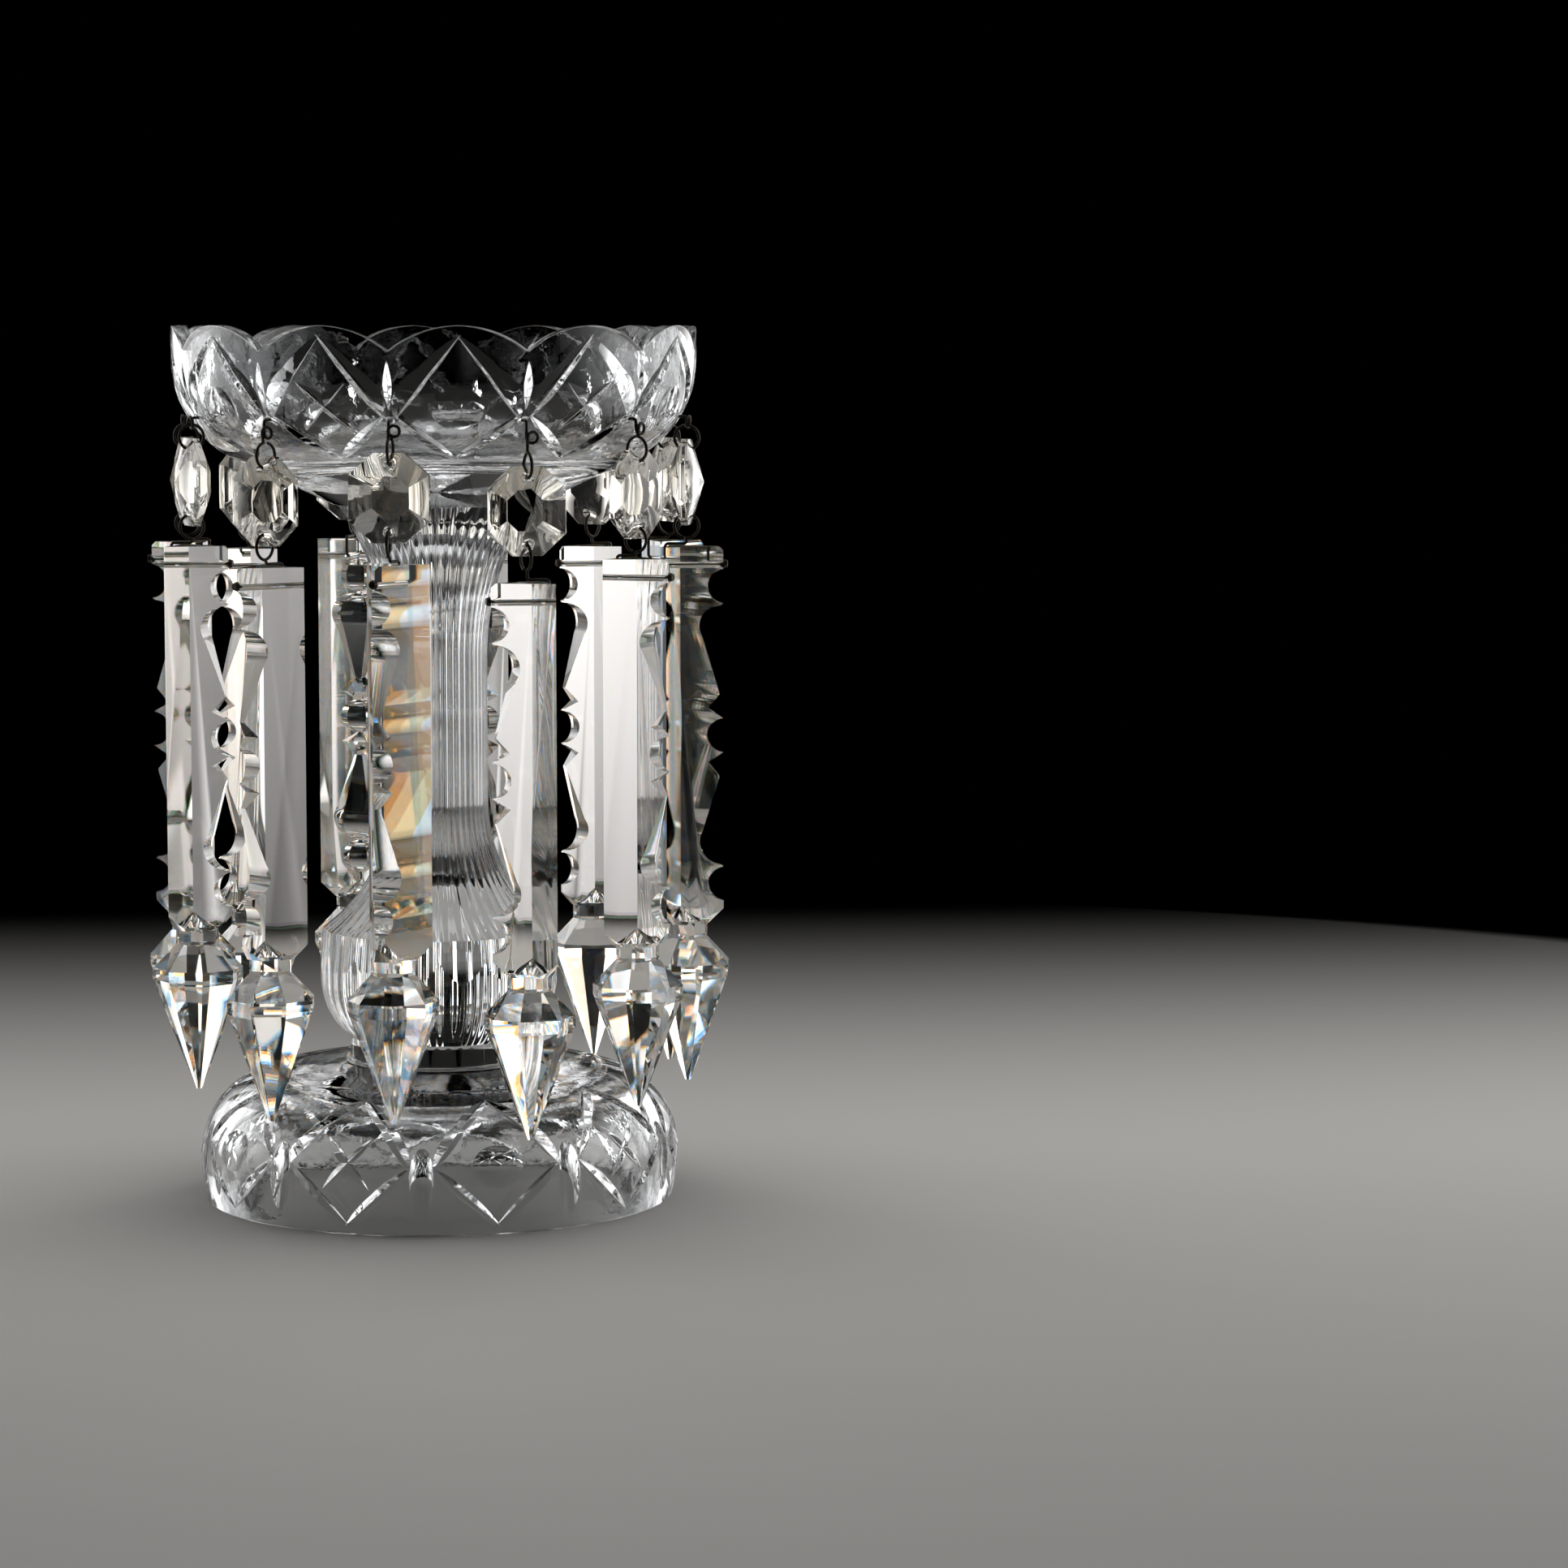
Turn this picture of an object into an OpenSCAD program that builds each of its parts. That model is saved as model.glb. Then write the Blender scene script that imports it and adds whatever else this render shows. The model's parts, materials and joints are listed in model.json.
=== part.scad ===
// Mantel lustre in cut glass: foot, panelled column and bowl, hung with twelve drops.
// The origin is on the table under the axis, +Z is up and -Y faces the viewer.
// A drop is a wire hook, an eight-sided bead, a headed wire pin and a spear prism.

/* [Body] */
// Diameter of the bowl at the rim
bowl_d = 170.6; // [164:0.2:178]
// Height of the bowl above its seat
bowl_h = 58; // [56:0.5:62]
// Diameter of the column between its flares
column_d = 33; // [30:0.5:36]
// Height of the column with its knop
column_h = 182; // [180:1:190]
// Diameter of the knop
knop_d = 77.6; // [74:0.2:80]
// Diameter of the foot
foot_d = 157.4; // [150:0.2:159]
// Height of the foot to the seat of the column
foot_h = 46; // [44:0.5:47]
// Wall of the foot
foot_wall = 8.5; // [7:0.5:10]
// How far the side of the foot draws in towards the table
foot_draw = 2; // [1:0.5:3]

/* [Cutting] */
// Depth of the mitre cuts
mitre_depth = 1.5; // [1.1:0.1:1.8]
// Depth of the notches between the scallops of the rim
scallop_depth = 8; // [5:0.5:10]
// Diameter of the round lens cuts
lens_d = 15; // [12:0.5:17]

/* [Drops] */
// Width of a bead
bead_w = 25.4; // [23:0.2:27]
// Height of a bead
bead_h = 28; // [26:0.5:29]
// Width of one side of a prism
prism_w = 21.5; // [19:0.5:23]
// Length of the notched bar of a prism
bar_len = 123.5; // [118:0.5:126]
// Length of the spear below the bar
spear_len = 52; // [46:1:54]
// Width of the spear across its flats
spear_w = 26.8; // [24:0.2:28]

/* [Wire] */
// Diameter of the wire
wire_d = 1; // [0.8:0.1:1.1]
// Diameter of the holes in the bowl and the prisms
bore_d = 2; // [1.7:0.1:2.4]
// Diameter of the holes in the beads
bead_hole_d = 3; // [2.8:0.1:3.2]
// Free height between a wire and the glass that it carries or rests on
wire_gap = 0.15; // [0.1:0.05:0.25]

/* [Hidden] */
$fn = 96;
N = 12;
first = -10;
pitch = 360 / N;

// Every wire was bent by hand: extra length of each hook and pin, and how far each prism is turned
hook_extra = [0, 4.2, 0, -2.6, -2, 0.4, 1.2, -0.8, 0.6, -2.8, -3.4, 1.6];
pin_extra = [1.4, 3.2, 1.2, 1.8, 1.2, 2.2, 1.5, 1.2, 1.9, 1.2, 1.2, 1.3];
turn = [-14, -96, 8, 4, -6, 152, 5, -38, 64, 6, 146, -6];

function names(stem) = [for (i = [1:N]) str(stem, "_", i)];

function around(phi, r, z) = [r * sin(phi), -r * cos(phi), z];
function unit(v) = v / norm(v);
function flat(phi) = [sin(phi), -cos(phi), 0];

// Heights
seat_z = foot_h + column_h;
rim_z = seat_z + bowl_h;
bowl_r = bowl_d / 2;
foot_r = foot_d / 2;
col_r = column_d / 2;
knop_r = knop_d / 2;

// Bowl: a straight wall, an arc and a cone down to the seat
wall_t = 5;
arc_r = 36;
arc_z = rim_z - 11;
arc_c = bowl_r - arc_r;
cone_a = 65;
tan_r = arc_c + arc_r * cos(cone_a);
tan_z = arc_z - arc_r * sin(cone_a);
seat_r = tan_r - (tan_z - seat_z) * tan(cone_a);
in_r = arc_r - 7;
in_c = bowl_r - wall_t - in_r;
in_z = arc_z - 3;
floor_z = in_z - in_r;
function bowl_at(z) = z > arc_z ? bowl_r
    : z > tan_z ? arc_c + sqrt(pow(arc_r, 2) - pow(arc_z - z, 2))
    : tan_r - (tan_z - z) * tan(cone_a);

// Where the drops hang
hole_z = rim_z - 29;
hole_r = bowl_at(hole_z);
wire_r = wire_d / 2;
hang_r = hole_r + 2.2;
hook_z = hole_z - bore_d / 2 + wire_r + wire_gap;

// Bead and rings
hole_in = 3.8;
ring_r = 4;
girdle = 2.2;
crown = 4.6;
pavilion = 3.6;
table_w = 12;
// The upper edge of a bead's hole, at its back, hangs on the inside of the ring
edge_y = girdle / 2 + pavilion * (hole_in - bead_hole_d / 2) / ((bead_h - table_w) / 2);
ring_up = bead_hole_d / 2 + sqrt(pow(ring_r - wire_r - wire_gap, 2) - edge_y * edge_y);
bead_top = 246.8 - 286 + rim_z;
function bead_z(i) = bead_top - hook_extra[i] - bead_h / 2;
function top_ring_z(i) = bead_z(i) + bead_h / 2 - hole_in + ring_up;
function low_ring_z(i) = bead_z(i) - bead_h / 2 + hole_in - ring_up;

// Prism: its axis is the middle of the three-sided bar
prism_h = prism_w * sin(60);
back_y = prism_h / 3;
ridge_t = prism_h - 0.56;
ridge_y = back_y - ridge_t;
pin_at = 6;
lie = 0.35;
over_drop = ring_r + wire_r + lie;
function prism_z(i) = low_ring_z(i) - over_drop - pin_extra[i];
function angle(i) = first + pitch * i;

// A straight V-shaped groove whose bottom runs from p to q, open towards up
module groove(p, q, up) {
    dir = unit(q - p);
    y = -unit(up - dir * (up * dir));
    x = cross(y, dir);
    v = 4;
    w = v * tan(50);
    multmatrix([[x[0], y[0], dir[0], p[0]], [x[1], y[1], dir[1], p[1]],
            [x[2], y[2], dir[2], p[2]]])
        linear_extrude(norm(q - p)) polygon([[0, 0], [w, -v], [-w, -v]]);
}

// How far the wheel has left the glass where a cut starts and ends
lead = 3;

// A leaf-shaped V cut from a to b on a rounded wall, deepest under the wall's point m
module mitre(a, b, m, depth) {
    c = (a + b) / 2;
    dir = unit(b - a);
    up0 = m - c;
    up = unit(up0 - dir * (up0 * dir));
    low = m - up * depth;
    to_a = unit(a - low);
    to_b = unit(b - low);
    groove(a + to_a * lead, low - to_a * 0.2, up);
    groove(low - to_b * 0.2, b + to_b * lead, up);
}

// A cut runs past its ends by this share of its length, so cuts cross where they meet
overrun = 0.04;
function past(a, b) = a + (a - b) * overrun;

module on_bowl(phi_a, z_a, phi_b, z_b, phi_m, z_m, depth = mitre_depth) {
    z0 = past(z_a, z_b);
    z1 = past(z_b, z_a);
    mitre(around(past(phi_a, phi_b), bowl_at(z0), z0), around(past(phi_b, phi_a), bowl_at(z1), z1),
        around(phi_m, bowl_at(z_m), z_m), depth);
}

module bowl_outline() {
    intersection() {
        union() {
            polygon([[0, seat_z], [seat_r, seat_z], [tan_r, tan_z], [arc_c, arc_z], [0, arc_z]]);
            translate([arc_c, arc_z]) circle(arc_r);
        }
        translate([0, seat_z - 1]) square([bowl_r + 1, arc_z - seat_z + 1]);
    }
    translate([0, arc_z]) square([bowl_r, rim_z - arc_z]);
}

module bowl_hollow() {
    translate([0, in_z]) square([in_c + in_r, rim_z - in_z + 1]);
    translate([0, floor_z]) square([in_c, in_z - floor_z]);
    intersection() {
        translate([in_c, in_z]) circle(in_r);
        translate([in_c, floor_z - 1]) square([in_r + 1, in_r + 1]);
    }
}

// One pointed notch of the rim, between two round scallops
module scallop_notch() {
    half = bowl_r * sin(pitch / 2);
    rs = (half * half + scallop_depth * scallop_depth) / (2 * scallop_depth);
    translate([0, -bowl_r + 20, rim_z])
        rotate([90, 0, 0])
            linear_extrude(30)
                difference() {
                    translate([-half, -scallop_depth - 1])
                        square([2 * half, scallop_depth + 2]);
                    translate([-half, -rs]) circle(rs);
                    translate([half, -rs]) circle(rs);
                }
}

module bowl() {
    top = rim_z - 3.6;
    mid = hole_z + 1;
    low = rim_z - 41.5;
    cen = hole_z + 4;
    color("gainsboro") difference() {
        rotate_extrude() difference() {
            bowl_outline();
            bowl_hollow();
        }
        for (i = [0:N - 1]) {
            rotate([0, 0, angle(i)]) {
                scallop_notch();
                translate([0, -hole_r + 12, hole_z]) rotate([90, 0, 0]) cylinder(d = bore_d, h = 20);
            }
            a = angle(i);
            c = a + pitch / 2;
            for (k = [-1, 1]) {
                on_bowl(c, top, c + k * 13.4, mid, c + k * 6.8, (top + mid) / 2 + 0.8);
                on_bowl(c + k * 13.4, mid, c, low, c + k * 7, (mid + low) / 2 - 1.2);
                if (i % 2 == 1)
                    on_bowl(c - k * 5.4, cen + 7, c + k * 5.4, cen - 7, c, cen, 1.15 + k * 0.05);
            }
            on_bowl(a, rim_z - 11.5, a, hole_z + 3.4, a, (rim_z + hole_z) / 2 - 4, 1.2);
            if (i % 2 == 0)
                lens(around(c, bowl_at(cen - 1), cen - 1), c, asin((arc_z - cen + 1) / arc_r));
        }
    }
}

// A round shallow cut, made by a ball that dips into the wall at p
module lens(p, phi, fall) {
    ball = 25;
    lift = sqrt(ball * ball - lens_d * lens_d / 4) - 0.6;
    n = flat(phi) * cos(fall) + [0, 0, -sin(fall)];
    translate(p + n * lift) sphere(ball);
}

// Column: trumpet under the bowl, straight part, flare and knop
trumpet_r = 87;
trumpet_z = seat_z - 50;
flare_z = foot_h + 84;
shoulder_z = foot_h + 42.5;
flare_dz = flare_z - shoulder_z;
flare_dr = knop_r - col_r;
flare_r = (flare_dr * flare_dr + flare_dz * flare_dz) / (2 * flare_dr);
belly_z = foot_h + 26;
belly_r = 23.9;
neck_z = foot_h + 7;
neck_r = knop_r - belly_r + sqrt(pow(belly_r, 2) - pow(belly_z - neck_z, 2));
panels = 16;
panel_dip = 0.4;
arch_dip = 1.5;
arch_z = foot_h + 29;
trumpet_end = col_r + trumpet_r - sqrt(pow(trumpet_r, 2) - pow(seat_z - trumpet_z, 2));

module column_outline() {
    translate([0, foot_h]) square([neck_r, neck_z - foot_h + 2]);
    intersection() {
        translate([knop_r - belly_r, belly_z]) circle(belly_r);
        translate([0, neck_z]) square([knop_r, belly_z - neck_z]);
    }
    difference() {
        translate([0, belly_z]) square([knop_r, flare_z - belly_z]);
        translate([col_r + flare_r, flare_z]) circle(flare_r);
    }
    translate([0, flare_z]) square([col_r, trumpet_z - flare_z]);
    difference() {
        translate([0, trumpet_z]) square([col_r + 18, seat_z - trumpet_z]);
        translate([col_r + trumpet_r, trumpet_z]) circle(trumpet_r);
    }
}

// What stays inside one flat panel of the column, from the knop to the bowl
module panel_inside() {
    r0 = col_r - panel_dip;
    r1 = knop_r - arch_dip;
    dz = shoulder_z - flare_z;
    path = (pow(r1 - r0, 2) + dz * dz) / (2 * (r1 - r0));
    r2 = trumpet_end - 0.8;
    dt = seat_z - trumpet_z;
    horn = (pow(r2 - r0, 2) + dt * dt) / (2 * (r2 - r0));
    r_arch = knop_r + 0.1;
    slope = (r_arch - r1) / (shoulder_z - arch_z + 1);
    difference() {
        polygon([[0, arch_z - 1], [r_arch, arch_z - 1],
                [r_arch - slope * (flare_z - arch_z + 1), flare_z], [0, flare_z]]);
        translate([r0 + path, flare_z]) circle(path);
    }
    translate([0, flare_z]) square([r0, trumpet_z - flare_z]);
    difference() {
        translate([0, trumpet_z]) square([r2, dt]);
        translate([r0 + horn, trumpet_z]) circle(horn);
    }
}

module panel() {
    out = 60;
    w = out * tan(180 / panels) * 0.97;
    intersection() {
        rotate([90, 0, -90]) translate([0, 0, -20]) linear_extrude(40) difference() {
            translate([1, arch_z]) square([out, seat_z + 1 - arch_z]);
            panel_inside();
        }
        linear_extrude(seat_z + 2) polygon([[0, 0], [w, -out], [-w, -out]]);
    }
}

module column() {
    color("whitesmoke") difference() {
        rotate_extrude() column_outline();
        for (i = [0:panels - 1]) rotate([0, 0, (i + 0.5) * 360 / panels]) panel();
    }
}

// Foot: a side that draws in below, a round shoulder and a low cone up to the seat of the column
dome_r = 27;
dome_z = 15;
dome_c = foot_r - dome_r;
side_r = (dome_z * dome_z + foot_draw * foot_draw) / (2 * foot_draw);
side_c = foot_r - side_r;
cuts = 10;
cut_pitch = 360 / cuts;
function foot_at(z) = z < dome_z ? side_c + sqrt(pow(side_r, 2) - pow(z - dome_z, 2))
    : dome_c + sqrt(max(0, pow(dome_r, 2) - pow(z - dome_z, 2)));

module on_foot(phi_a, z_a, phi_b, z_b, phi_m, z_m, depth = mitre_depth) {
    z0 = past(z_a, z_b);
    z1 = past(z_b, z_a);
    mitre(around(past(phi_a, phi_b), foot_at(z0), z0), around(past(phi_b, phi_a), foot_at(z1), z1),
        around(phi_m, foot_at(z_m), z_m), depth);
}

module foot_outline() {
    intersection() {
        translate([side_c, dome_z]) circle(side_r);
        square([foot_r, dome_z]);
    }
    translate([0, dome_z]) square([dome_c, dome_r]);
    intersection() {
        translate([dome_c, dome_z]) circle(dome_r);
        translate([dome_c, dome_z]) square([dome_r, dome_r]);
    }
    polygon([[0, dome_z + dome_r - 1], [dome_c, dome_z + dome_r - 1], [dome_c, dome_z + dome_r],
            [neck_r + 1.5, foot_h - 1], [neck_r + 1.5, foot_h], [0, foot_h]]);
}

module foot_hollow() {
    r = dome_r - foot_wall + 1.5;
    c = foot_r - foot_wall - r;
    translate([0, -1]) square([c + r, dome_z]);
    translate([0, dome_z - 1]) square([c, r]);
    intersection() {
        translate([c, dome_z - 1]) circle(r);
        translate([c, dome_z - 1]) square([r, r]);
    }
}

// An upright leaf-shaped cut, left by a wheel with a round edge that leans with the dome
module leaf() {
    edge = 4.2;
    reach = 120;
    depth = 2.5;
    lean = 6;
    z = dome_z + 1.5;
    translate([0, -foot_at(z), z])
        rotate([-lean, 0, 0])
            translate([0, depth - reach, 0])
                rotate([0, 90, 0])
                    rotate_extrude() translate([reach - edge, 0]) circle(edge);
}

module foot() {
    top = dome_z + dome_r - 2;
    mid = 21.5;
    low = 3.4;
    color("lightgray") difference() {
        rotate_extrude() difference() {
            foot_outline();
            foot_hollow();
        }
        for (i = [0:cuts - 1]) {
            a = -4.5 + cut_pitch * i;
            c = a + cut_pitch / 2;
            rotate([0, 0, a]) leaf();
            for (k = [-1, 1]) {
                on_foot(c, top, c + k * 15, mid, c + k * 8.4, 33.8);
                on_foot(c + k * 15, mid, c, low, c + k * 7.5, (mid + low) / 2);
                if (i % 2 == 1)
                    on_foot(c - k * 5.4, 30, c + k * 5.4, 15, c, 23, 1.15 + k * 0.05);
            }
            if (i % 2 == 0)
                lens(around(c, foot_at(22), 22), c, -asin((22 - dome_z) / dome_r));
        }
    }
}

// A straight length of wire from p to q, and a bend where two lengths meet
module wire(p, q) {
    d = q - p;
    len = norm(d);
    translate(p) rotate([0, acos(d[2] / len), atan2(d[1], d[0])]) cylinder(r = wire_r, h = len);
}

module bend(p) {
    translate(p) sphere(wire_r + 0.08);
}

module ring(z, r) {
    translate([0, 0, z]) rotate([0, 90, 0]) rotate_extrude() translate([r, 0]) circle(wire_r);
}

module place(i) {
    rotate([0, 0, angle(i)]) translate([0, -hang_r, 0]) children();
}

module hook(i) {
    inside = hang_r - hole_r + wall_t + 3.4;
    ring_top = top_ring_z(i) + ring_r;
    curl = 1.75;
    curl_z = (hook_z + ring_top) / 2 - 0.4;
    place(i) color("dimgray") {
        wire([0, inside, hook_z], [0, inside, hook_z + 5]);
        bend([0, inside, hook_z]);
        wire([0, inside, hook_z], [0, 0, hook_z]);
        bend([0, 0, hook_z]);
        wire([0, 0, ring_top], [0, 0, hook_z]);
        bend([0, 0, ring_top]);
        ring(top_ring_z(i), ring_r);
        translate([curl, 0, curl_z]) rotate([90, 0, 0])
            rotate_extrude() translate([curl, 0]) circle(wire_r);
    }
}

// A roof-shaped bar whose two slopes make one pair of facets of the bead, front and back
module facet_pair(half, spin) {
    long = 60;
    rotate([0, spin, 0])
        translate([0, 0, -long / 2])
            linear_extrude(long)
                polygon([[-half, -girdle / 2], [0, -girdle / 2 - crown], [half, -girdle / 2],
                        [half, girdle / 2], [half * table_w / bead_h, girdle / 2 + pavilion],
                        [-half * table_w / bead_h, girdle / 2 + pavilion], [-half, girdle / 2]]);
}

module bead(i) {
    corner = atan2(6.8, 7.9);
    slant = ((bead_w / 2) * 6.8 + (bead_h / 2 - 6.8) * 7.9) / norm([6.8, 7.9]);
    place(i) color("antiquewhite") translate([0, 0, bead_z(i)]) difference() {
        intersection() {
            facet_pair(bead_w / 2, 0);
            facet_pair(bead_h / 2, 90);
            facet_pair(slant, 90 - corner);
            facet_pair(slant, corner - 90);
        }
        for (k = [-1, 1])
            translate([0, 10, k * (bead_h / 2 - hole_in)])
                rotate([90, 0, 0]) cylinder(d = bead_hole_d, h = 20);
    }
}

module pin(i) {
    over = prism_z(i) + wire_r + lie;
    bore_z = prism_z(i) - pin_at + bore_d / 2 - wire_r - wire_gap;
    back = back_y + wire_r + lie;
    front = ridge_y - 0.25;
    place(i) color("dimgray") {
        ring(low_ring_z(i), ring_r);
        bend([0, 0, low_ring_z(i) - ring_r]);
        wire([0, 0, over], [0, 0, low_ring_z(i) - ring_r]);
        rotate([0, 0, turn[i]]) {
            bend([0, 0, over]);
            wire([0, 0, over], [0, back, over]);
            bend([0, back, over]);
            wire([0, back, bore_z], [0, back, over]);
            bend([0, back, bore_z]);
            wire([0, back, bore_z], [0, front - 0.2, bore_z]);
            translate([0, front, bore_z]) rotate([90, 0, 0]) cylinder(d = 3, h = 1.2);
        }
    }
}

// The bar seen from the side: depth from the flat back against the way down
module bar_side() {
    h = bar_len / 2;
    t = ridge_t;
    difference() {
        polygon([[-1, 0], [t - 1.3, 0], [t, 1.3], [t, 18.5], [t - 1.1, 19.4], [t - 8, 26.6],
                [t - 1.2, 48.3], [t - 5.2, 53], [t, 56.2], [t, bar_len - 56.2],
                [t - 5.2, bar_len - 53], [t - 1.2, bar_len - 48.3], [t - 8, bar_len - 26.6],
                [t - 1.1, bar_len - 19.4], [t, bar_len - 18.5], [t, bar_len - 4.8],
                [t - 5.2, bar_len], [-1, bar_len]]);
        for (s = [13, bar_len - 13]) translate([t + 0.5, s]) circle(5.6);
        for (s = [26.3, bar_len - 26.3]) translate([t - 0.9, s]) circle(7.1);
        translate([t + 0.2, h]) circle(5.6);
    }
}

// The eight-sided spear: a neck, a shoulder, a belt and a long point
spear_neck = 6.4 / cos(22.5);

module spear() {
    w = spear_w / 2 / cos(22.5);
    rotate([0, 0, 22.5])
        rotate_extrude($fn = 8)
            polygon([[0, 0.5], [spear_neck, 0.5], [spear_neck, -4.6], [w, -12.6], [w, -16],
                    [1, -spear_len], [0, -spear_len]]);
}

module prism(i) {
    place(i) color("linen") translate([0, 0, prism_z(i)]) rotate([0, 0, turn[i]]) {
        difference() {
            intersection() {
                translate([0, 0, -bar_len])
                    linear_extrude(bar_len)
                        polygon([[-prism_w / 2, back_y], [prism_w / 2, back_y],
                                [0, back_y - prism_h]]);
                multmatrix([[0, 0, 1, -20], [-1, 0, 0, back_y], [0, -1, 0, 0]])
                    linear_extrude(40) bar_side();
                translate([0, 0, -bar_len])
                    cylinder(r1 = spear_neck + 0.6, r2 = spear_neck + 0.6 + bar_len, h = bar_len);
            }
            translate([0, 20, -pin_at]) rotate([90, 0, 0]) cylinder(d = bore_d, h = 40);
        }
        translate([0, 0, -bar_len]) spear();
    }
}

bowl();
column();
foot();
for (i = [0:N - 1]) {
    hook(i);
    bead(i);
    pin(i);
    prism(i);
}
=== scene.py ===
"""Mantel lustre in cut glass.

A bowl on a panelled column and a domed foot, hung with twelve drops of a bead and a spear prism.
"""

import json
import math

import bmesh
import bpy
from mathutils import Matrix, Vector
from mathutils.geometry import interpolate_bezier


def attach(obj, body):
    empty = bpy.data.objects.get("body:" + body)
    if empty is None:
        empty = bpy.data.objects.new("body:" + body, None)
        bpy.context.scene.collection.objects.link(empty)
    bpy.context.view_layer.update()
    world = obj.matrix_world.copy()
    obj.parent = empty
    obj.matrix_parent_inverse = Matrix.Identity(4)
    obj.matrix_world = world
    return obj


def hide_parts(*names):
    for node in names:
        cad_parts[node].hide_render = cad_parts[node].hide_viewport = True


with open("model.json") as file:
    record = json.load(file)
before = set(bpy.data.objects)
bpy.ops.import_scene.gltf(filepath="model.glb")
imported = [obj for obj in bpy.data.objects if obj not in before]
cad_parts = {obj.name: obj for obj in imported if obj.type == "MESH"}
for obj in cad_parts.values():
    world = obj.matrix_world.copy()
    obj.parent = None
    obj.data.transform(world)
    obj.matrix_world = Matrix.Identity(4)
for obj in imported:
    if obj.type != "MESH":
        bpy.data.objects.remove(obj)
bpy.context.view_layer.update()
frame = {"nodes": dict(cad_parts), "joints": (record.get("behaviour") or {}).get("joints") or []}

bl_info = {
    "name": "Mantel Lustre",
    "version": (1, 0, 0),
    "blender": (4, 5, 0),
    "location": "3D View > Sidebar > Lustre",
    "description": "Dresses the packed mantel lustre in glass and wire and sets its studio",
    "category": "Object",
}

MM = 0.001
DROPS = range(1, 13)
JOINTS = {joint["name"]: joint for joint in frame["joints"]}
UP = Vector((0, 0, 1))


def linear(hex_colour):
    """An sRGB hex colour as the linear values that shaders and properties hold."""
    parts = [int(hex_colour[i:i + 2], 16) / 255 for i in (1, 3, 5)]
    return [c / 12.92 if c <= 0.04045 else ((c + 0.055) / 1.055) ** 2.4 for c in parts]


class LustreGlass(bpy.types.PropertyGroup):
    """The glass of the body and of the drops."""

    body_colour: bpy.props.FloatVectorProperty(
        name="Body colour", description="Colour of the bowl, column and foot",
        subtype="COLOR", min=0, max=1, default=linear("#FAFBFC"))
    bead_colour: bpy.props.FloatVectorProperty(
        name="Bead colour", description="Colour of the eight-sided beads",
        subtype="COLOR", min=0, max=1, default=linear("#FBF7EE"))
    prism_colour: bpy.props.FloatVectorProperty(
        name="Prism colour", description="Colour of the spear prisms",
        subtype="COLOR", min=0, max=1, default=linear("#FEFDFC"))
    edge: bpy.props.FloatProperty(
        name="Edge", description="Width of the polished edge between two facets of a drop",
        unit="LENGTH", default=0.18 * MM)
    worn: bpy.props.FloatProperty(
        name="Worn edge", description="Radius of the edges of the cuts in the body",
        unit="LENGTH", default=0.45 * MM)
    spread: bpy.props.FloatProperty(
        name="Spread", description="How much more the prisms bend cool light than white light",
        default=0.012)


class LustreWire(bpy.types.PropertyGroup):
    """The wire of the hooks and pins."""

    colour: bpy.props.FloatVectorProperty(
        name="Colour", description="Colour of the darkened steel wire",
        subtype="COLOR", min=0, max=1, default=linear("#4A443D"))
    diameter: bpy.props.FloatProperty(
        name="Diameter", description="Diameter of the wire", unit="LENGTH", default=1 * MM)
    bend: bpy.props.FloatProperty(
        name="Bend", description="Radius of a bend, along the middle of the wire",
        unit="LENGTH", default=1.1 * MM)
    ring: bpy.props.FloatProperty(
        name="Ring", description="Radius of the rings in the beads", unit="LENGTH", default=4 * MM)


class LustreStage(bpy.types.PropertyGroup):
    """The floor, lamps and camera."""

    floor_colour: bpy.props.FloatVectorProperty(
        name="Floor", description="Colour of the floor under the object",
        subtype="COLOR", min=0, max=1, default=linear("#D6D4D0"))
    # Colour of the backdrop, which is also painted on the floor far away and behind the object as
    # painted shade
    backdrop_and_shade_colour: bpy.props.FloatVectorProperty(
        name="Backdrop", description="Colour of the floor far away and of the backdrop",
        subtype="COLOR", min=0, max=1, default=linear("#000000"))
    distance: bpy.props.FloatProperty(
        name="Distance", description="From the camera to the axis of the column",
        unit="LENGTH", default=1.509)
    height: bpy.props.FloatProperty(
        name="Height", description="Height of the camera", unit="LENGTH", default=0.286)
    turn: bpy.props.FloatProperty(
        name="Turn", description="How far the camera looks to the right of the object",
        subtype="ANGLE", default=math.radians(4.33))
    fall: bpy.props.FloatProperty(
        name="Fall", description="How far the camera looks down",
        subtype="ANGLE", default=math.radians(5.7))
    lens: bpy.props.FloatProperty(
        name="Lens", description="Focal length on a 36 mm sensor", unit="CAMERA", default=105.5)


# Sockets of a Mix node that mixes colours
MIX_A = 6
MIX_B = 7
MIX_COLOUR = 2


def add(tree, kind, inputs=(), **settings):
    """Adds a node with its settings; an input is a value or the socket that feeds it."""
    made = tree.nodes.new(kind)
    for name, value in settings.items():
        setattr(made, name, value)
    for socket, value in dict(inputs).items():
        if isinstance(value, bpy.types.NodeSocket):
            tree.links.new(value, made.inputs[socket])
        else:
            made.inputs[socket].default_value = value
    return made


def new_material(name):
    """An empty node material and its tree."""
    material = bpy.data.materials.new(name)
    material.use_nodes = True
    material.node_tree.nodes.clear()
    return material, material.node_tree


# How far the glass of the body, of the beads and of the prisms bends light
BODY_IOR = 1.56
BEAD_IOR = 1.6
PRISM_IOR = 1.57

# Depth of the ripples on the bowl and foot, on the panels of the column and on the flat facets of
# the drops, and the length of the longest ripples
BODY_RIPPLE = 0.12 * MM
COLUMN_RIPPLE = 0.012 * MM
FACET_RIPPLE = 0.003 * MM
RIPPLE_LENGTH = 14 * MM

# How often ripples halve in length, and the share of depth that each halving keeps: on most of
# the glass, and on the bowl and foot, where the cuts leave finer ones
SOFT_RIPPLES = (2, 0.4)
FINE_RIPPLES = (4, 0.6)

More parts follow.
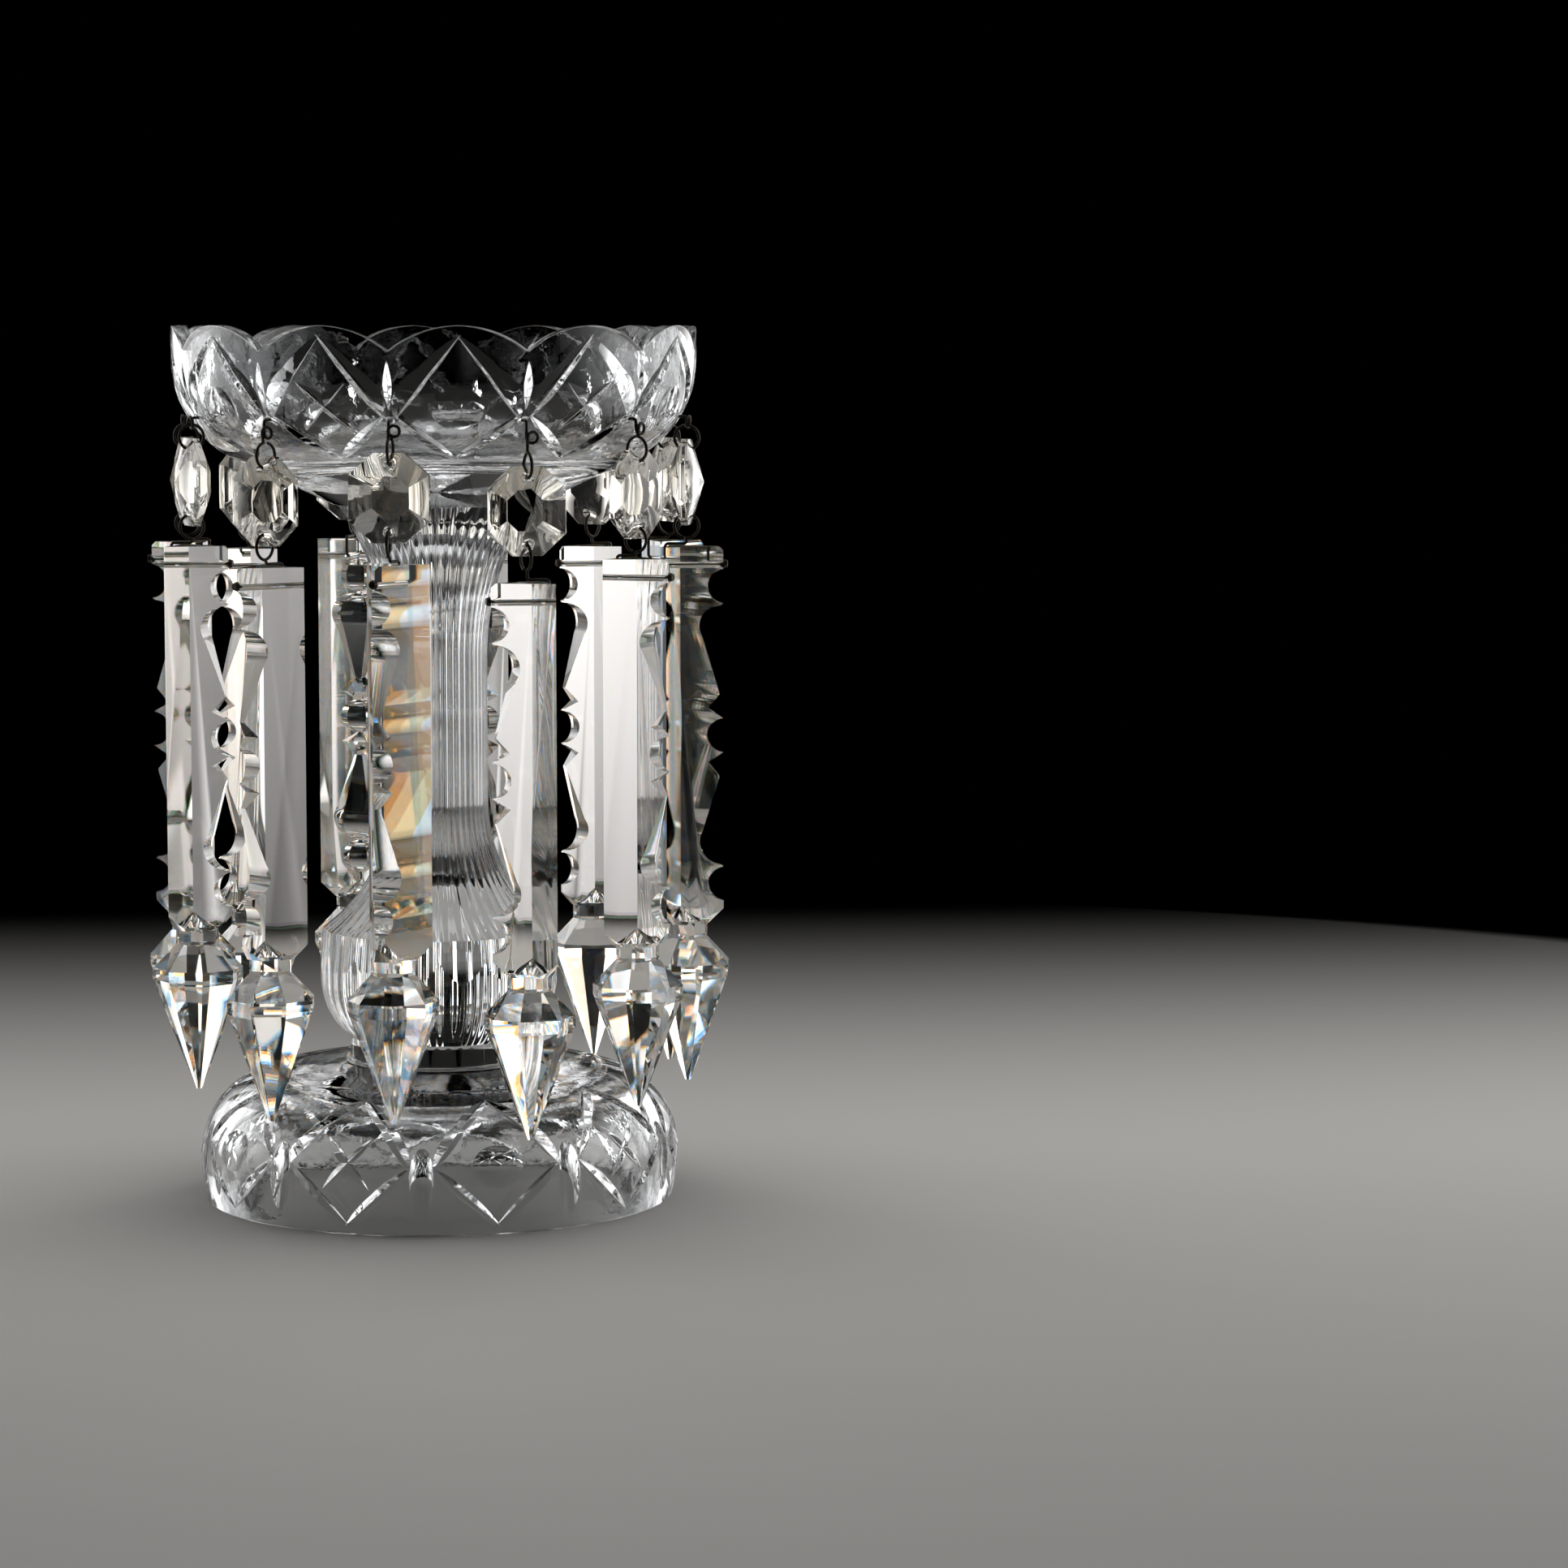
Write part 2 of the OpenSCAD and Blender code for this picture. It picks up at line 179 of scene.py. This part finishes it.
# Roughness of a clear polish and of the column's softer one, and of the dullest haze
POLISH = 0.004
COLUMN_POLISH = 0.03
BODY_HAZE = 0.1
COLUMN_HAZE = 0.2
DROP_HAZE = 0.03

# Length of a patch of haze, and the levels of its noise where it starts and where it is full
PATCH_LENGTH = 22 * MM
HAZE_FROM = 0.5
HAZE_FULL = 0.8

# Wheel lines round the column: three to a panel and about 2.2 mm apart at its waist, their depth,
# the height under the knop where they end, over how much height they fade in, and the flat end of
# the column, which has none
COLUMN_LINES = 48
LINE_DEPTH = 0.18 * MM
LINES_END = 52 * MM
LINES_FADE = 10 * MM
LINES_TOP = 227.9 * MM

# How a drop shares light out between its warm end, which it bends less, and its cool end
WARM = (1.5, 1, 0.5)
COOL = (0.5, 1, 1.5)


def cut_glass(name, colour, ior, ripple, haze, edge=0, lines=0, spread=0, polish=POLISH,
              ripples=SOFT_RIPPLES):
    """Lead glass, cut on a wheel and polished by hand: clear, bright, a little uneven.

    The polish leaves long soft ripples, which bend what is seen through the glass, and
    handling leaves faint patches of haze. It also rounds the edges of the cuts. A wheel that
    runs along a column leaves lines up and down it, and a softer polish. Lead glass bends cool
    light more than warm, so its planes throw rainbow glints.
    """
    material, tree = new_material(name)
    place = add(tree, "ShaderNodeTexCoord").outputs["Object"]
    waves = add(tree, "ShaderNodeTexNoise", {
        "Vector": place, "Scale": 1 / RIPPLE_LENGTH, "Detail": ripples[0],
        "Roughness": ripples[1]})
    bump = add(tree, "ShaderNodeBump", {
        "Height": waves.outputs["Fac"], "Strength": 1, "Distance": ripple})
    if edge:
        worn = add(tree, "ShaderNodeBevel", {"Radius": edge}, samples=4)
        tree.links.new(worn.outputs["Normal"], bump.inputs["Normal"])
    if lines:
        spot = add(tree, "ShaderNodeSeparateXYZ", {0: place})
        way = add(tree, "ShaderNodeMath", {0: spot.outputs["Y"], 1: spot.outputs["X"]},
                  operation="ARCTAN2")
        turn = add(tree, "ShaderNodeMath", {0: way.outputs["Value"], 1: COLUMN_LINES},
                   operation="MULTIPLY")
        wave = add(tree, "ShaderNodeMath", {0: turn.outputs["Value"]}, operation="SINE")
        share = add(tree, "ShaderNodeMapRange", {
            "Value": spot.outputs["Z"], "From Min": LINES_END,
            "From Max": LINES_END + LINES_FADE, "To Min": 0, "To Max": 1})
        below = add(tree, "ShaderNodeMath", {0: spot.outputs["Z"], 1: LINES_TOP},
                    operation="LESS_THAN")
        side = add(tree, "ShaderNodeMath", {
            0: share.outputs["Result"], 1: below.outputs["Value"]}, operation="MULTIPLY")
        drawn = add(tree, "ShaderNodeMath", {
            0: wave.outputs["Value"], 1: side.outputs["Value"]}, operation="MULTIPLY")
        bump = add(tree, "ShaderNodeBump", {
            "Height": drawn.outputs["Value"], "Strength": 1, "Distance": lines,
            "Normal": bump.outputs["Normal"]})
    patches = add(tree, "ShaderNodeTexNoise", {
        "Vector": place, "Scale": 1 / PATCH_LENGTH, "Detail": 6, "Roughness": 0.65})
    dull = add(tree, "ShaderNodeMapRange", {
        "Value": patches.outputs["Fac"], "From Min": HAZE_FROM, "From Max": HAZE_FULL,
        "To Min": polish, "To Max": haze})
    finish = {"Roughness": dull.outputs["Result"], "Normal": bump.outputs["Normal"]}
    if spread:
        ends = [add(tree, "ShaderNodeBsdfGlass", {
            "Color": (*[c * t for c, t in zip(colour, tint)], 1), "IOR": bent, **finish})
            for tint, bent in ((WARM, ior - spread), (COOL, ior + spread))]
        shader = add(tree, "ShaderNodeMixShader", {
            0: 0.5, 1: ends[0].outputs["BSDF"], 2: ends[1].outputs["BSDF"]}).outputs["Shader"]
    else:
        shader = add(tree, "ShaderNodeBsdfPrincipled", {
            "Base Color": (*colour, 1), "IOR": ior, "Transmission Weight": 1,
            **finish}).outputs["BSDF"]
    add(tree, "ShaderNodeOutputMaterial", {"Surface": shader})
    return material


# Wire: the length of an aged spot, its depth, and the share of colour left where it is darkest
SPOT_LENGTH = 1.6 * MM
SPOT_DEPTH = 0.05 * MM
DARKEST = 0.35


def drawn_wire(name, colour):
    """Drawn steel wire, darkened with age: brown-black, with rubbed brighter places."""
    material, tree = new_material(name)
    place = add(tree, "ShaderNodeTexCoord").outputs["Object"]
    age = add(tree, "ShaderNodeTexNoise", {
        "Vector": place, "Scale": 1 / SPOT_LENGTH, "Detail": 5, "Roughness": 0.6})
    dark = [c * DARKEST for c in colour]
    tone = add(tree, "ShaderNodeMix", {
        0: age.outputs["Fac"], MIX_A: (*dark, 1), MIX_B: (*colour, 1)}, data_type="RGBA")
    dull = add(tree, "ShaderNodeMapRange", {
        "Value": age.outputs["Fac"], "From Min": 0.3, "From Max": 0.7,
        "To Min": 0.3, "To Max": 0.6})
    bump = add(tree, "ShaderNodeBump", {
        "Height": age.outputs["Fac"], "Strength": 0.5, "Distance": SPOT_DEPTH})
    shader = add(tree, "ShaderNodeBsdfPrincipled", {
        "Base Color": tone.outputs[MIX_COLOUR], "Metallic": 1,
        "Roughness": dull.outputs["Result"], "Normal": bump.outputs["Normal"]})
    add(tree, "ShaderNodeOutputMaterial", {"Surface": shader.outputs["BSDF"]})
    return material


# Floor: its radius, the radius where painted shade starts to darken its rim, and how far behind
# the object it is painted all dark, as shade standing in for the light falling away
FLOOR_R = 0.8
PAINTED_SHADE_RIM = 0.7
PAINTED_DARK_BEHIND = 0.75
FLOOR_SIDES = 96


def paper_with_painted_shade(name, near, far):
    """Seamless paper, pale under the object, with painted shade that darkens it behind the object
    and at its rim.
    """
    material, tree = new_material(name)
    place = add(tree, "ShaderNodeTexCoord").outputs["Object"]
    behind = add(tree, "ShaderNodeSeparateXYZ", {0: place}).outputs["Y"]
    reach = add(tree, "ShaderNodeVectorMath", {0: place}, operation="LENGTH").outputs["Value"]
    # Masks of the painted shade: one behind the object, one at the rim of the floor
    shares = [add(tree, "ShaderNodeMapRange", {
        "Value": way, "From Min": start, "From Max": end, "To Min": 0, "To Max": 1},
        interpolation_type="SMOOTHSTEP").outputs["Result"]
        for way, start, end in ((behind, 0, PAINTED_DARK_BEHIND), (reach, PAINTED_SHADE_RIM, FLOOR_R))]
    share = add(tree, "ShaderNodeMath", {0: shares[0], 1: shares[1]}, operation="MAXIMUM")
    # Painted shade: the paper's colour turns to the backdrop's colour behind the object and at its
    # rim
    tone = add(tree, "ShaderNodeMix", {
        0: share.outputs["Value"], MIX_A: (*near, 1), MIX_B: (*far, 1)}, data_type="RGBA")
    shader = add(tree, "ShaderNodeBsdfPrincipled", {
        "Base Color": tone.outputs[MIX_COLOUR], "Roughness": 0.85, "Specular IOR Level": 0})
    add(tree, "ShaderNodeOutputMaterial", {"Surface": shader.outputs["BSDF"]})
    return material


def dress(node, material):
    """Gives a CAD node one material."""
    mesh = frame["nodes"][node].data
    mesh.materials.clear()
    mesh.materials.append(material)


def piece_from(bm, name, material):
    """Turns a bmesh into a piece at the origin."""
    mesh = bpy.data.meshes.new(name)
    bm.to_mesh(mesh)
    bm.free()
    mesh.materials.append(material)
    piece = bpy.data.objects.new(name, mesh)
    bpy.context.scene.collection.objects.link(piece)
    return piece


def stand_in_for(piece, node, body):
    """The piece rides on the node's body and hides the node."""
    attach(piece, body)
    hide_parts(node)


# Facets: faces within FLAT of each other are one facet, edges over SHARP are polished, and points
# within WELD are one
FLAT = math.radians(0.4)
SHARP = math.radians(18)
WELD = 0.002 * MM
EDGE_STEPS = 2


def faceted(node, name, material, edge):
    """A copy of a cut drop whose facets are whole and meet in a narrow polished edge."""
    bm = bmesh.new()
    bm.from_mesh(frame["nodes"][node].data)
    bmesh.ops.remove_doubles(bm, verts=bm.verts, dist=WELD)
    bmesh.ops.dissolve_limit(bm, angle_limit=FLAT, verts=bm.verts, edges=bm.edges)
    for face in bm.faces:
        face.smooth = True
    for seam in bm.edges:
        seam.smooth = seam.is_manifold and seam.calc_face_angle(0) < SHARP
    piece = piece_from(bm, name, material)
    rounding = piece.modifiers.new("polished edges", "BEVEL")
    rounding.width = edge
    rounding.segments = EDGE_STEPS
    rounding.limit_method = "ANGLE"
    rounding.angle_limit = SHARP
    rounding.harden_normals = True
    return piece


class LUSTRE_OT_body(bpy.types.Operator):
    """Gives the bowl, the column and the foot their glass"""

    bl_idname = "lustre.body"
    bl_label = "Body"

    def execute(self, context):
        glass = context.scene.lustre_glass
        material = cut_glass("polished lead glass", glass.body_colour, BODY_IOR, BODY_RIPPLE,
                             BODY_HAZE, glass.worn, ripples=FINE_RIPPLES)
        for node in ("bowl", "foot"):
            dress(node, material)
        panelled = cut_glass("panel-cut lead glass", glass.body_colour, BODY_IOR, COLUMN_RIPPLE,
                             COLUMN_HAZE, glass.worn, lines=LINE_DEPTH, polish=COLUMN_POLISH)
        dress("column", panelled)
        return {"FINISHED"}


class LUSTRE_OT_beads(bpy.types.Operator):
    """Cuts the eight-sided beads"""

    bl_idname = "lustre.beads"
    bl_label = "Beads"

    def execute(self, context):
        glass = context.scene.lustre_glass
        material = cut_glass("warm lead glass", glass.bead_colour, BEAD_IOR, FACET_RIPPLE,
                             DROP_HAZE)
        for i in DROPS:
            bead = faceted(f"bead_{i}", f"cut_bead_{i}", material, glass.edge)
            stand_in_for(bead, f"bead_{i}", f"bead_{i}")
        return {"FINISHED"}


class LUSTRE_OT_prisms(bpy.types.Operator):
    """Cuts the notched spear prisms"""

    bl_idname = "lustre.prisms"
    bl_label = "Prisms"

    def execute(self, context):
        glass = context.scene.lustre_glass
        material = cut_glass("bright lead glass", glass.prism_colour, PRISM_IOR, FACET_RIPPLE,
                             DROP_HAZE, spread=glass.spread)
        for i in DROPS:
            prism = faceted(f"prism_{i}", f"cut_prism_{i}", material, glass.edge)
            stand_in_for(prism, f"prism_{i}", f"prism_{i}")
        return {"FINISHED"}


# Hook: how far it reaches in through the wall, its upturned tail, the radius of its side curl and
# how far the curl lies below the middle of the shank
HOOK_IN = 8.4 * MM
TAIL = 5 * MM
CURL = 1.75 * MM
CURL_DROP = 0.4 * MM

# Pin: how far it lies off the glass, the width and height of its head, the radius of the head's
# front as a share of that width, and the gap between the head and the glass
LIE = 0.35 * MM
HEAD = 3 * MM
HEAD_H = 1.2 * MM
HEAD_FRONT = 0.36
HEAD_GAP = 0.25 * MM

# How far one turn carries the wire of a curl and of a ring sideways, in wire widths
CURL_STEP = 1.05
RING_STEP = 0.8

# How far a bend reaches towards its corner, and how fine bends, loops, wire and heads are
ARC = 0.55
BEND_STEPS = 7
LOOP_STEPS = 40
WIRE_STEPS = 3
HEAD_SIDES = 24


def rounded(corners, radius):
    """The points of a path along these corners, with each inner corner rounded."""
    path = [corners[0]]
    for before, corner, after in zip(corners, corners[1:], corners[2:]):
        start = corner + (before - corner).normalized() * radius
        end = corner + (after - corner).normalized() * radius
        path += interpolate_bezier(start, start.lerp(corner, ARC), end.lerp(corner, ARC), end,
                                   BEND_STEPS)
    return path + [corners[-1]]


def loop(centre, first, second, radius, lift):
    """One turn round a centre, from first through second, which climbs along lift."""
    angles = [math.tau * k / LOOP_STEPS for k in range(LOOP_STEPS + 1)]
    return [centre + radius * (math.cos(a) * first + math.sin(a) * second) + lift * (a / math.tau)
            for a in angles]


def wire_along(bm, path, diameter):
    """Adds a round wire along a path to a bmesh."""
    curve = bpy.data.curves.new("wire path", "CURVE")
    curve.dimensions = "3D"
    curve.bevel_depth = diameter / 2
    curve.bevel_resolution = WIRE_STEPS
    curve.use_fill_caps = True
    spline = curve.splines.new("POLY")
    spline.points.add(len(path) - 1)
    for point, place in zip(spline.points, path):
        point.co = (*place, 1)
    form = bpy.data.objects.new("wire path", curve)
    mesh = bpy.data.meshes.new_from_object(form)
    bm.from_mesh(mesh)
    bpy.data.objects.remove(form)
    bpy.data.curves.remove(curve)
    bpy.data.meshes.remove(mesh)
    for face in bm.faces:
        face.smooth = True


def joint_at(name):
    """The point and the axis of a joint."""
    return Vector(JOINTS[name]["pos_m"]), Vector(JOINTS[name]["axis"])


class LUSTRE_OT_hooks(bpy.types.Operator):
    """Bends the hooks that hang in the holes of the bowl"""

    bl_idname = "lustre.hooks"
    bl_label = "Hooks"

    def execute(self, context):
        wire = context.scene.lustre_wire
        material = drawn_wire("darkened steel wire", wire.colour)
        for i in DROPS:
            hole, out = joint_at(f"hook_swing_{i}")
            ring = joint_at(f"bead_swing_{i}")[0]
            side = UP.cross(out)
            inside = hole - out * HOOK_IN
            top = Vector((ring.x, ring.y, hole.z))
            neck = ring + UP * wire.ring
            curl = (top + neck) / 2 - UP * CURL_DROP
            step = out * wire.diameter * CURL_STEP
            path = rounded([inside + UP * TAIL, inside, top, curl], wire.bend)[:-1]
            path += loop(curl + side * CURL, -side, -UP, CURL, step)
            path.append(neck + step / 2)
            path += loop(ring, UP, out, wire.ring, side * wire.diameter * RING_STEP)[1:-1]
            bm = bmesh.new()
            wire_along(bm, path, wire.diameter)
            hook = piece_from(bm, f"bent_hook_{i}", material)
            stand_in_for(hook, f"hook_{i}", f"hook_{i}")
        return {"FINISHED"}


class LUSTRE_OT_pins(bpy.types.Operator):
    """Bends the headed pins that carry the prisms"""

    bl_idname = "lustre.pins"
    bl_label = "Pins"

    def execute(self, context):
        wire = context.scene.lustre_wire
        material = bpy.data.materials["darkened steel wire"]
        for i in DROPS:
            ring, inward = joint_at(f"pin_swing_{i}")
            bore, front = joint_at(f"prism_swing_{i}")
            top = [v.co for v in frame["nodes"][f"prism_{i}"].data.vertices if v.co.z > bore.z]
            reach = [(co - bore).dot(front) for co in top]
            if max(reach) < -min(reach):
                front = -front
                reach = [-r for r in reach]
            over = Vector((bore.x, bore.y, max(co.z for co in top) + wire.diameter / 2 + LIE))
            back = -front * (-min(reach) + wire.diameter / 2 + LIE)
            ridge = front * (max(reach) + HEAD_GAP)
            out = UP.cross(inward)
            lift = inward * wire.diameter * RING_STEP
            path = loop(ring, -UP, out, wire.ring, lift)[1:-1][::-1]
            path += rounded([ring - UP * wire.ring, over, over + back, bore + back, bore + ridge],
                            wire.bend)
            bm = bmesh.new()
            wire_along(bm, path, wire.diameter)
            turned = front.to_track_quat("Z", "Y").to_matrix().to_4x4()
            bmesh.ops.create_cone(
                bm, cap_ends=True, segments=HEAD_SIDES, radius1=HEAD / 2,
                radius2=HEAD * HEAD_FRONT, depth=HEAD_H,
                matrix=Matrix.Translation(bore + ridge + front * HEAD_H / 2) @ turned)
            pin = piece_from(bm, f"headed_pin_{i}", material)
            stand_in_for(pin, f"pin_{i}", f"pin_{i}")
        return {"FINISHED"}


# Level of a softbox at its rim, as a share of that at its middle
RIM = 0.1

# Softboxes: where each hangs, the point it faces, its width, its height and its watts
LAMPS = {
    "left_softbox": ((-0.95, 0.45, 0.45), (0, 0.45, 0.45), 1.25, 1.5, 12),
    "right_softbox": ((0.95, 0.2, 0.45), (0, 0.2, 0.45), 1.8, 1.5, 17),
    "left_back_softbox": ((-0.7, 1.1, 0.45), (0, 0, 0.45), 0.7, 1.5, 10),
    "right_back_softbox": ((0.7, 1.1, 0.45), (0, 0, 0.45), 0.7, 1.5, 10),
    "top_softbox": ((0, 0.1, 1.3), (0, 0.1, 0), 1.2, 1.2, 16),
}

# Width of the camera's sensor in millimetres, and how often light is followed through glass and
# off it
SENSOR = 36
THROUGH_GLASS = 32
OFF_GLASS = 12


def softbox(name, place, aim, width, height, watts):
    """A rectangular lamp that faces a point, dims to its rim and isn't seen by the camera."""
    lamp = bpy.data.lights.new(name, "AREA")
    lamp.shape = "RECTANGLE"
    lamp.size = width
    lamp.size_y = height
    lamp.energy = watts
    lamp.use_nodes = True
    tree = lamp.node_tree
    across = add(tree, "ShaderNodeNewGeometry").outputs["Parametric"]
    spot = add(tree, "ShaderNodeVectorMath", {0: across, 1: (0.5, 0.5, 0)}, operation="SUBTRACT")
    off = add(tree, "ShaderNodeVectorMath", {0: spot.outputs["Vector"]}, operation="ABSOLUTE")
    away = add(tree, "ShaderNodeSeparateXYZ", {0: off.outputs["Vector"]})
    shares = [add(tree, "ShaderNodeMapRange", {
        "Value": away.outputs[axis], "From Min": 0.5, "From Max": 0, "To Min": RIM, "To Max": 1},
        interpolation_type="SMOOTHSTEP").outputs["Result"] for axis in "XY"]
    glow = add(tree, "ShaderNodeMath", {0: shares[0], 1: shares[1]}, operation="MULTIPLY")
    tree.links.new(glow.outputs["Value"], tree.nodes["Emission"].inputs["Strength"])
    thing = bpy.data.objects.new(name, lamp)
    thing.location = place
    thing.rotation_euler = (Vector(aim) - Vector(place)).to_track_quat("-Z", "Y").to_euler()
    thing.visible_camera = False
    bpy.context.scene.collection.objects.link(thing)


class LUSTRE_OT_stage(bpy.types.Operator):
    """Lays the floor, hangs the lamps and sets the camera"""

    bl_idname = "lustre.stage"
    bl_label = "Stage"

    def execute(self, context):
        scene = context.scene
        stage = scene.lustre_stage
        bm = bmesh.new()
        bmesh.ops.create_circle(bm, cap_ends=True, segments=FLOOR_SIDES, radius=FLOOR_R)
        paper = paper_with_painted_shade("seamless paper with painted shade", stage.floor_colour, stage.backdrop_and_shade_colour)
        floor = piece_from(bm, "floor", paper)

        for name, lamp in LAMPS.items():
            softbox(name, *lamp)

        world = bpy.data.worlds.new("studio")
        world.use_nodes = True
        background = world.node_tree.nodes["Background"]
        background.inputs["Color"].default_value = (*stage.backdrop_and_shade_colour, 1)
        background.inputs["Strength"].default_value = 1
        scene.world = world

        lens = bpy.data.cameras.new("camera")
        lens.sensor_width = SENSOR
        lens.lens = stage.lens
        camera = bpy.data.objects.new("camera", lens)
        camera.location = (0, -stage.distance, stage.height)
        camera.rotation_euler = (math.pi / 2 - stage.fall, 0, -stage.turn)
        scene.collection.objects.link(camera)
        scene.camera = camera

        scene.view_settings.view_transform = "Standard"
        scene.cycles.max_bounces = THROUGH_GLASS
        scene.cycles.transmission_bounces = THROUGH_GLASS
        scene.cycles.glossy_bounces = OFF_GLASS
        return {"FINISHED"}


STEPS = (LUSTRE_OT_body, LUSTRE_OT_beads, LUSTRE_OT_prisms, LUSTRE_OT_hooks,
         LUSTRE_OT_pins, LUSTRE_OT_stage)


class LUSTRE_PT_sidebar(bpy.types.Panel):
    """Lists the steps that dress the lustre"""

    bl_label = "Mantel Lustre"
    bl_space_type = "VIEW_3D"
    bl_region_type = "UI"
    bl_category = "Lustre"

    def draw(self, context):
        for step in STEPS:
            self.layout.operator(step.bl_idname)


GROUPS = {"lustre_glass": LustreGlass, "lustre_wire": LustreWire, "lustre_stage": LustreStage}
CLASSES = (*GROUPS.values(), *STEPS, LUSTRE_PT_sidebar)


def register():
    for made in CLASSES:
        bpy.utils.register_class(made)
    for name, group in GROUPS.items():
        setattr(bpy.types.Scene, name, bpy.props.PointerProperty(type=group))


def unregister():
    for name in GROUPS:
        delattr(bpy.types.Scene, name)
    for made in reversed(CLASSES):
        bpy.utils.unregister_class(made)


def main():
    """Dresses the lustre and sets its stage."""
    register()
    bpy.ops.lustre.body()
    bpy.ops.lustre.beads()
    bpy.ops.lustre.prisms()
    bpy.ops.lustre.hooks()
    bpy.ops.lustre.pins()
    bpy.ops.lustre.stage()


if __name__ == "__main__":
    main()
